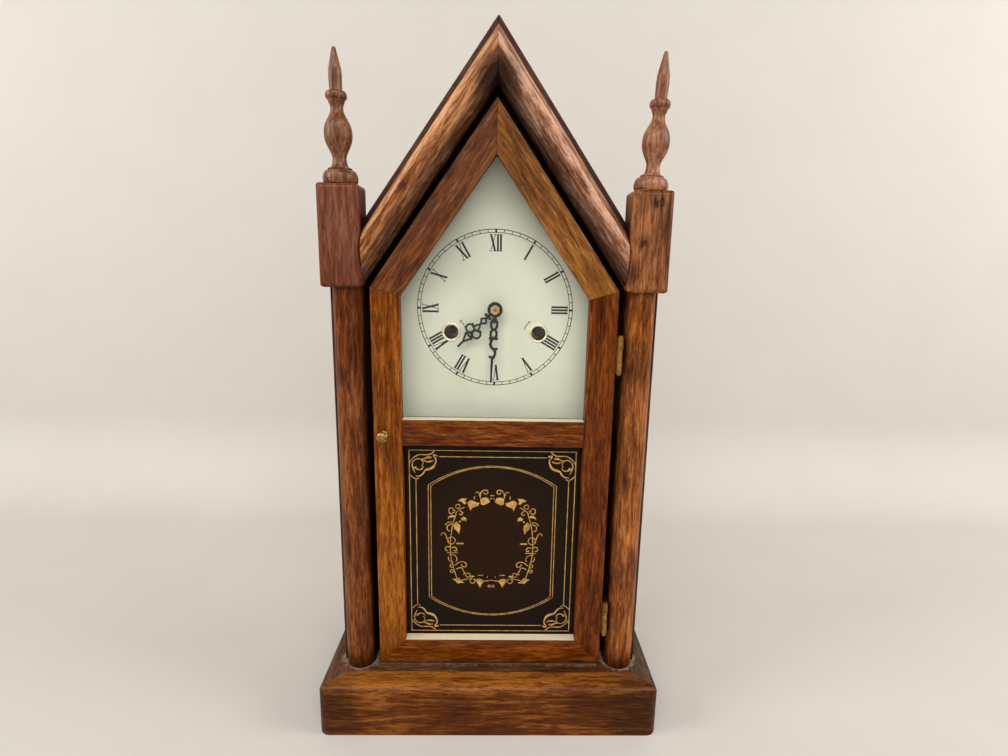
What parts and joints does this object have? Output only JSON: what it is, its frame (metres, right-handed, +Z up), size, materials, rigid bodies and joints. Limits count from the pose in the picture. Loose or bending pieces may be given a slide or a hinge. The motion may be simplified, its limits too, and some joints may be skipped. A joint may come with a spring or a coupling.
{
  "type": "steeple clock",
  "caption": "Wooden steeple clock with a gabled case, half-round posts, turned finials, a glazed door, a Roman dial and a spring movement with a pendulum and a gong.",
  "frame": {"origin": "middle of the base's underside", "axes": "+X to the right seen from the front, -Y towards the front, +Z up"},
  "size_m": [0.256, 0.127, 0.5073],
  "materials": {
    "red_wood": "semi-gloss lacquer",
    "orange_wood": "semi-gloss lacquer",
    "dark_wood": "semi-gloss lacquer",
    "plain_wood": "unfinished",
    "clear_glass": "clear",
    "painted_glass": "painted on the back",
    "putty": "matte",
    "dial_paint": "satin",
    "black_steel": "satin",
    "brass": "aged",
    "steel": "brushed"
  },
  "bodies": {
    "case": {"base_front_rail": "orange_wood", "base_left_rail": "orange_wood", "base_right_rail": "orange_wood", "base_floor_board": "dark_wood", "left_side_board": "dark_wood", "right_side_board": "dark_wood", "left_roof_board": "red_wood", "right_roof_board": "red_wood", "back_board": "plain_wood", "left_post": "dark_wood", "right_post": "dark_wood", "left_capital_block": "red_wood", "right_capital_block": "orange_wood", "left_finial": "dark_wood", "right_finial": "dark_wood", "left_gable_moulding": "red_wood", "right_gable_moulding": "orange_wood", "gable_frame_rails": "dark_wood", "dial_battens": "plain_wood", "screws_and_pins": "steel", "hinge_case_leaves": "brass", "hinge_pins": "brass", "dial_plate": "dial_paint", "dial_grommets": "brass", "front_plate": "brass", "back_plate": "brass", "mainsprings": "steel", "gong": "steel"},
    "door": {"door_left_stile": "orange_wood", "door_right_stile": "red_wood", "door_bottom_rail": "orange_wood", "door_middle_rail": "orange_wood", "door_left_gable_rail": "orange_wood", "door_right_gable_rail": "red_wood", "upper_glass": "clear_glass", "tablet_glass": "painted_glass", "glazing_putty": "putty", "hinge_door_leaves": "brass", "door_hinge_screws": "brass"},
    "latch": {"latch_knob": "brass", "latch_tongue": "steel"},
    "minute_hand_works": {"centre_arbor": "steel", "minute_hand": "black_steel", "hand_nut": "brass"},
    "minute_wheel_body": {"minute_wheel": "brass"},
    "hour_hand_works": {"hour_hand": "black_steel", "hour_wheel": "brass"},
    "escape_body": {"escape_wheel": "brass"},
    "third_body": {"third_wheel": "brass"},
    "centre_wheel_body": {"centre_wheel": "brass"},
    "time_great_body": {"time_great_wheel": "brass"},
    "time_winding_body": {"time_winding_arbor": "steel"},
    "strike_winding_body": {"strike_winding_arbor": "steel"},
    "fly_body": {"strike_fly": "brass"},
    "pin_wheel_body": {"strike_pin_wheel": "brass"},
    "strike_great_body": {"strike_great_wheel": "brass"},
    "hammer_body": {"hammer": "steel"},
    "pendulum_body": {"pendulum_rod": "steel", "pendulum_bob": "brass"},
    "verge_body": {"verge": "steel"}
  },
  "joints": [
    {"name": "door_hinge", "type": "hinge", "parent": "case", "child": "door", "pos_m": [0.08825, -0.03965, 0.18], "axis": [0, 0, 1], "range_deg": [0, 110]},
    {"name": "latch_turn", "type": "hinge", "parent": "door", "child": "latch", "pos_m": [-0.0788, -0.03, 0.2282], "axis": [0, 1, 0], "range_deg": [0, 90]},
    {"name": "minute_hand_turn", "type": "hinge", "parent": "case", "child": "minute_hand_works", "pos_m": [0, 0.02, 0.3183], "axis": [0, 1, 0], "continuous": true},
    {"name": "minute_wheel_turn", "type": "hinge", "parent": "case", "child": "minute_wheel_body", "pos_m": [0.0072, 0.02, 0.33077], "axis": [0, 1, 0], "continuous": true},
    {"name": "hour_hand_turn", "type": "hinge", "parent": "case", "child": "hour_hand_works", "pos_m": [0, 0.02, 0.3183], "axis": [0, 1, 0], "continuous": true},
    {"name": "escape_wheel_turn", "type": "hinge", "parent": "case", "child": "escape_body", "pos_m": [0, 0.02, 0.2723], "axis": [0, 1, 0], "continuous": true},
    {"name": "third_wheel_turn", "type": "hinge", "parent": "case", "child": "third_body", "pos_m": [-0.00683, 0.02, 0.29321], "axis": [0, 1, 0], "continuous": true},
    {"name": "centre_wheel_turn", "type": "hinge", "parent": "case", "child": "centre_wheel_body", "pos_m": [0, 0.02, 0.3183], "axis": [0, 1, 0], "continuous": true},
    {"name": "time_great_wheel_turn", "type": "hinge", "parent": "case", "child": "time_great_body", "pos_m": [0.0324, 0.02, 0.3009], "axis": [0, 1, 0], "continuous": true},
    {"name": "time_winding", "type": "hinge", "parent": "case", "child": "time_winding_body", "pos_m": [0.0324, 0.02, 0.3009], "axis": [0, 1, 0], "continuous": true},
    {"name": "strike_winding", "type": "hinge", "parent": "case", "child": "strike_winding_body", "pos_m": [-0.0324, 0.02, 0.3009], "axis": [0, 1, 0], "continuous": true},
    {"name": "fly_turn", "type": "hinge", "parent": "case", "child": "fly_body", "pos_m": [-0.02006, 0.02, 0.34122], "axis": [0, 1, 0], "continuous": true},
    {"name": "pin_wheel_turn", "type": "hinge", "parent": "case", "child": "pin_wheel_body", "pos_m": [-0.02588, 0.02, 0.32524], "axis": [0, 1, 0], "continuous": true},
    {"name": "strike_great_wheel_turn", "type": "hinge", "parent": "case", "child": "strike_great_body", "pos_m": [-0.0324, 0.02, 0.3009], "axis": [0, 1, 0], "continuous": true},
    {"name": "hammer_lift", "type": "hinge", "parent": "case", "child": "hammer_body", "pos_m": [-0.044, 0.02, 0.3283], "axis": [0, 1, 0], "range_deg": [0, 4.5]},
    {"name": "pendulum_swing", "type": "hinge", "parent": "case", "child": "pendulum_body", "pos_m": [0, 0.02, 0.2923], "axis": [0, 1, 0], "range_deg": [-3, 3]},
    {"name": "verge_rock", "type": "hinge", "parent": "case", "child": "verge_body", "pos_m": [0, 0.02, 0.2923], "axis": [0, 1, 0], "range_deg": [-3.3, 3.3]}
  ],
  "couplings": [
    {"joint": "minute_wheel_turn", "follows": "minute_hand_turn", "ratio": -0.33333},
    {"joint": "hour_hand_turn", "follows": "minute_hand_turn", "ratio": 0.083333},
    {"joint": "third_wheel_turn", "follows": "escape_wheel_turn", "ratio": -0.1},
    {"joint": "centre_wheel_turn", "follows": "escape_wheel_turn", "ratio": 0.0083333},
    {"joint": "time_great_wheel_turn", "follows": "escape_wheel_turn", "ratio": -0.00069444},
    {"joint": "pin_wheel_turn", "follows": "fly_turn", "ratio": -0.13333},
    {"joint": "strike_great_wheel_turn", "follows": "fly_turn", "ratio": 0.016667},
    {"joint": "verge_rock", "follows": "pendulum_swing", "ratio": 1}
  ]
}
